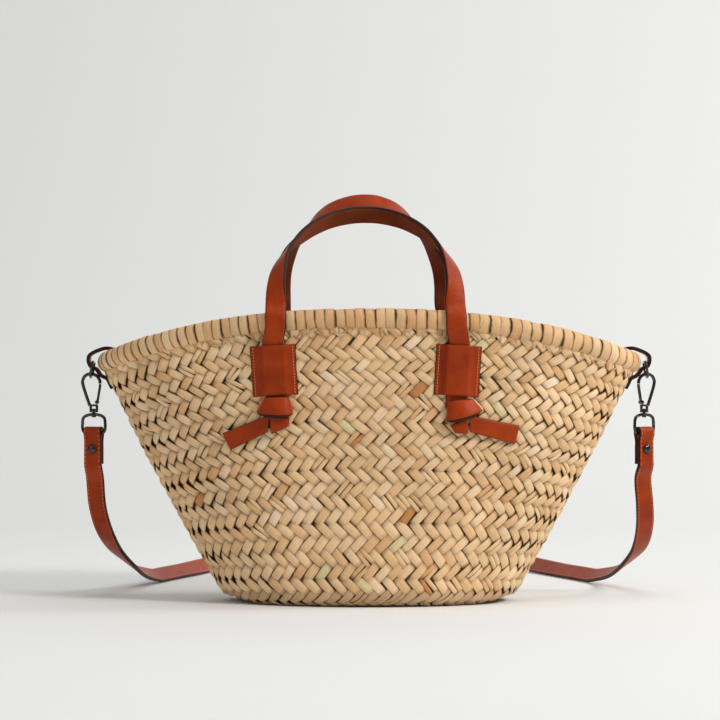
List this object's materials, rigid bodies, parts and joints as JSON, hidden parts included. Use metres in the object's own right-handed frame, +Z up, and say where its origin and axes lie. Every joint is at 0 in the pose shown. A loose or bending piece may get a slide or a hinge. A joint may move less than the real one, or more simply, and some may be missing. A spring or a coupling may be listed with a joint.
{
  "type": "straw basket bag",
  "caption": "Woven straw market-basket bag with wrapped rim, knotted leather handles and a leather shoulder strap on swivel snap hooks.",
  "frame": {"origin": "middle of the flat base, on the surface that the bag stands on", "axes": "+Z up, +X to the right seen from the front, +Y to the back, where the shoulder strap lies"},
  "size_m": [0.4048, 0.4925, 0.2853],
  "materials": {
    "straw": "plaited palm leaf",
    "leather": "smooth cowhide with painted edges",
    "nickel": "dark polished nickel"
  },
  "bodies": {
    "bag": {"basket_body": "straw", "basket_rim": "straw", "patch_front_left": "leather", "patch_front_right": "leather", "patch_back_left": "leather", "patch_back_right": "leather", "handle_front": "leather", "handle_back": "leather", "side_tab_left": "leather", "side_tab_right": "leather", "tab_ring_left": "nickel", "tab_ring_right": "nickel", "strap_ring_left": "nickel", "strap_ring_right": "nickel", "strap_rivet_left": "nickel", "strap_rivet_right": "nickel", "shoulder_strap": "leather"},
    "hook_left": {"hook_left": "nickel"},
    "gate_left": {"hook_gate_left": "nickel"},
    "hook_right": {"hook_right": "nickel"},
    "gate_right": {"hook_gate_right": "nickel"}
  },
  "joints": [
    {"name": "hook_left_swivel", "type": "hinge", "parent": "bag", "child": "hook_left", "pos_m": [-0.19255, 0, 0.1341], "axis": [0, 0, 1], "range_deg": [-15, 15]},
    {"name": "gate_left_hinge", "type": "hinge", "parent": "hook_left", "child": "gate_left", "pos_m": [-0.19027, 0, 0.1385], "axis": [0, -1, 0], "range_deg": [0, 28], "stiffness_Nm_per_rad": 0.002, "springref_deg": -17.19},
    {"name": "hook_right_swivel", "type": "hinge", "parent": "bag", "child": "hook_right", "pos_m": [0.19255, 0, 0.1341], "axis": [0, 0, 1], "range_deg": [-15, 15]},
    {"name": "gate_right_hinge", "type": "hinge", "parent": "hook_right", "child": "gate_right", "pos_m": [0.1904, -0.00078, 0.1385], "axis": [-0.342, 0.9397, 0], "range_deg": [0, 28], "stiffness_Nm_per_rad": 0.002, "springref_deg": -17.19}
  ]
}
